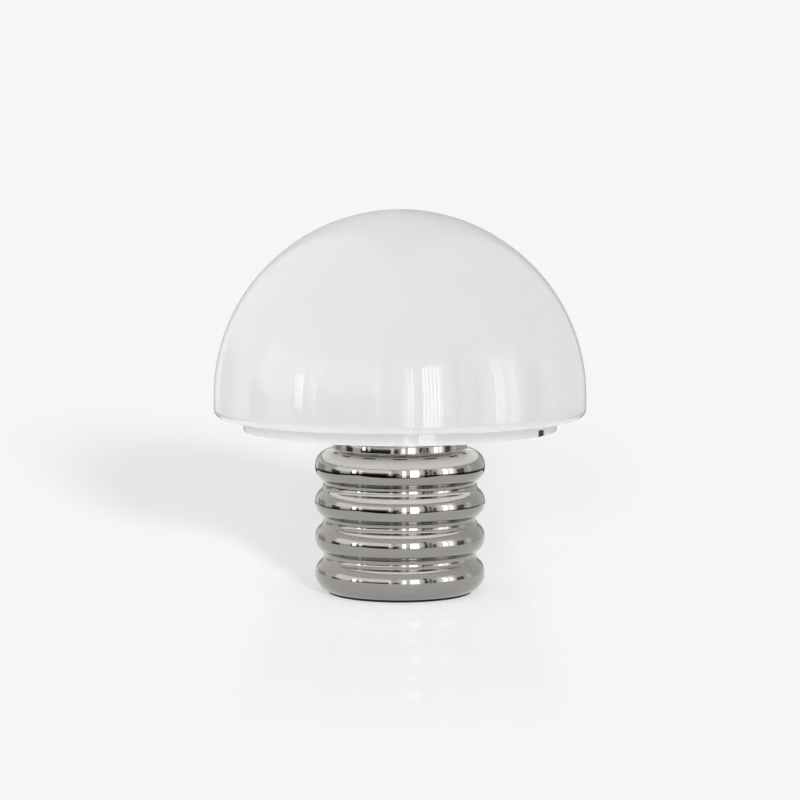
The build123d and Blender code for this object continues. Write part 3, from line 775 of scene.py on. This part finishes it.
# Dark furniture: left and right edge, bottom and top, darkness.
furniture_soft = (2.0, 1.5)
furniture_waver = (14.0, 10.0)  # how far its edges stray, sideways and in height
furniture = (
    (-146, -121, -30, 7, 0.42),
    (-104, -88, -30, 4.5, 0.9),
    (-70, -16, -30, 6.5, 0.95),
    (-8, 0, -30, 4.5, 0.95),
    (33, 38, -24, 30, 0.95),
    (41, 44, -24, 20, 0.95),
    (46, 50, -24, 12, 0.95),
    (83, 97, -30, 12, 0.8),
)

floor_tone = 0.63
floor_share = 0.5  # of the camera's plain background in the floor
floor_ior = 1.07
polish = 0.05  # roughness of the strip of floor that mirrors the base
matt = 0.9  # and beside it, so that no window shows on the floor from behind
polish_fade = (0.08, 0.14)
far_fade = (1.0, 3.0)  # where the floor turns to backdrop behind the lamp
near_fade = (-0.6, -0.35)  # and in front of it
table_corners = (-0.36, -0.25, 0.36, 0.45)  # left, front, right and back of the table
wide_corners = (-3.0, -0.80, 3.0, 4.0)  # the pale floor round it, which the lamp doesn't mirror
wide_level = -0.1 * mm

sun_height = 14.0
sun_softness = 7.0
shade_middle = 0.16
bounce_size = 0.5

frame_pixels = 800
sensor_width = 36.0
camera_focus = 2924.0  # focal length in pixels of the frame
camera_distance = 2.2672
camera_height = 0.3653
camera_dip = 0.0945


def room(shader):
    """What the lamp mirrors: a grey room with tall curtained windows and dark things below."""
    way = shader.node("ShaderNodeTexCoord", output="Generated")
    sockets = {"Vector": way, "Scale": patch_scale, "Detail": patch_detail}
    patch = shader.node("ShaderNodeTexNoise", sockets)
    ahead = shader.part(way, "Y") * -1.0
    azimuth = shader.part(way, "X").math("ARCTAN2", ahead) * degrees(1.0)
    aside = azimuth.math("ABSOLUTE")
    height = shader.part(way, "Z").math("ARCSINE") * degrees(1.0)

    tone = height.ramp(*ceiling_rise, wall_tone, ceiling_tone)
    tone = tone * patch.ramp(*noise_spread, *patch_tones)
    tone = tone * azimuth.ramp(*right_turn, 1.0, right_tone)
    tone = tone * aside.ramp(*rear_turn, 1.0, rear_tone)
    tone = tone * height.ramp(*ground_fall, ground_tone, 1.0)
    sway, lift = furniture_waver
    swayed = azimuth + (patch - 0.5) * sway
    lifted = height + (patch - 0.5) * lift
    soft_side, soft_rise = furniture_soft
    for left, right, bottom, top, dark in furniture:
        shape = swayed.band(left, right, soft_side) * lifted.band(bottom, top, soft_rise)
        tone = tone * (1 - shape * dark)
    soft_side, soft_rise = curtain_soft
    for left, right, bottom, top, glow in curtains:
        shape = azimuth.band(left, right, soft_side) * height.band(bottom, top, soft_rise)
        tone = tone + shape * (window_glow * glow)
    folds = (azimuth * fold_rate).math("SINE").ramp(-fold_edge, fold_edge, fold_tone, 1.0)
    soft_side, soft_rise = window_soft
    for left, right, bottom, top, glow in windows:
        shape = azimuth.band(left, right, soft_side) * height.band(bottom, top, soft_rise)
        tone = tone + shape * folds * (window_glow * glow)
    screen = aside.ramp(*screen_turn) * height.band(*screen_rise, screen_soft)
    tone = tone * (1 - screen) + screen * backdrop_tone
    return shader.blend(*(tone * part for part in warmth))


def light_world():
    """Plain light from all round; the camera sees the backdrop, and gloss and glass the room."""
    world = bpy.context.scene.world or bpy.data.worlds.new("studio")
    bpy.context.scene.world = world
    world.use_nodes = True
    shader = Shader(world.node_tree)
    shown = shader.mix(shader.ray("Is Camera Ray"), room(shader), rgb(backdrop_tone))
    way = shader.node("ShaderNodeTexCoord", output="Generated")
    level = ambient_level - shader.part(way, "X") * ambient_slope
    ambient = shader.blend(level, level, level)
    colour = shader.mix(shader.ray(*mirror_rays), ambient, shown)
    surface = shader.node("ShaderNodeBackground", {"Color": colour, "Strength": 1.0})
    shader.show(surface, "ShaderNodeOutputWorld")


def floor_paint(shader):
    """A pale floor, part lit and part plain backdrop, polished where it mirrors the base."""
    place = shader.place()
    gloss = shader.part(place, "X").math("ABSOLUTE").ramp(*polish_fade, polish, matt)
    lit = shader.principled(Base_Color=rgb(floor_tone), Roughness=gloss, IOR=floor_ior)
    plain = shader.node("ShaderNodeEmission", {"Color": rgb(backdrop_tone), "Strength": 1.0})
    depth = shader.part(place, "Y")
    far = depth.ramp(*far_fade, floor_share, 1.0)
    near = depth.ramp(*near_fade, 1.0, floor_share)
    share = shader.ray(*mirror_rays) * far.math("MAXIMUM", near)
    return shader.node("ShaderNodeMixShader", {0: share, 1: lit, 2: plain})


def lay_table(name, corners, level, paint):
    """A flat sheet of the plain pale table that the lamp stands on."""
    left, front, right, back = corners
    middle = ((left + right) / 2, (front + back) / 2, level)
    bpy.ops.object.select_all(action="DESELECT")
    bpy.ops.mesh.primitive_plane_add(size=1, location=middle)
    sheet = bpy.context.object
    sheet.name = sheet.data.name = name
    sheet.scale = (right - left, back - front, 1)
    settle(sheet)
    sheet.data.materials.append(paint)
    return sheet


def add_light(name, kind, place, turn, power):
    """A light that shows in no reflection."""
    bpy.ops.object.light_add(type=kind, location=place, rotation=turn)
    light = bpy.context.object
    light.name = light.data.name = name
    light.data.energy = power
    light.visible_glossy = False
    return light


def light_only(light, things):
    """Keeps a light to some objects."""
    lit = bpy.data.collections.new(light.name + "_lights")
    for thing in things:
        lit.objects.link(thing)
    light.light_linking.receiver_collection = lit


def low_sun(name, sheets, azimuth, strength):
    """Low daylight that lights the table alone, where the lamp's shadow falls behind it."""
    turn = (radians(90 - sun_height), 0, radians(azimuth))
    sun = add_light(name, "SUN", (0, -1, 1), turn, strength)
    sun.data.angle = radians(sun_softness)
    light_only(sun, sheets)


def lamp(name, azimuth, height, distance, size, power):
    """A soft area lamp that looks at the middle of the shade."""
    out = distance * cos(radians(height))
    up = distance * sin(radians(height))
    place = (out * sin(radians(azimuth)), -out * cos(radians(azimuth)), shade_middle + up)
    turn = (radians(90 - height), 0, radians(azimuth))
    made = add_light(name, "AREA", place, turn, power)
    made.data.shape = "RECTANGLE"
    made.data.size, made.data.size_y = size
    made.visible_camera = False


def bounce(under, power):
    """Light off the table, up on the carrier under the shade."""
    glow = add_light("table_bounce", "AREA", (0, 0, mm), (pi, 0, 0), power)
    glow.data.shape = "DISK"
    glow.data.size = bounce_size
    glow.visible_camera = False
    light_only(glow, (under,))


def place_camera():
    """The photograph's camera: far off, a little above the lamp."""
    data = bpy.data.cameras.new("view")
    camera = bpy.data.objects.new("view", data)
    bpy.context.scene.collection.objects.link(camera)
    data.sensor_width = sensor_width
    data.lens = camera_focus / frame_pixels * sensor_width
    camera.location = (0, -camera_distance, camera_height)
    camera.rotation_euler = (pi / 2 - camera_dip, 0, 0)
    bpy.context.scene.camera = camera


light_world()
pale_table = finish("pale_table", floor_paint)
table = lay_table("table", table_corners, 0, pale_table)
wide_table = lay_table("wide_table", wide_corners, wide_level, pale_table)
wide_table.visible_glossy = False
low_sun("right_daylight", (table, wide_table), azimuth=15, strength=5.4)
low_sun("left_daylight", (table, wide_table), azimuth=-6, strength=1.6)
bounce(nodes["shade_carrier"], power=1.7)
lamp("window_light", azimuth=-8, height=20, distance=2.4, size=(1.2, 0.8), power=2.5)
place_camera()
bpy.context.scene.view_settings.view_transform = "Standard"
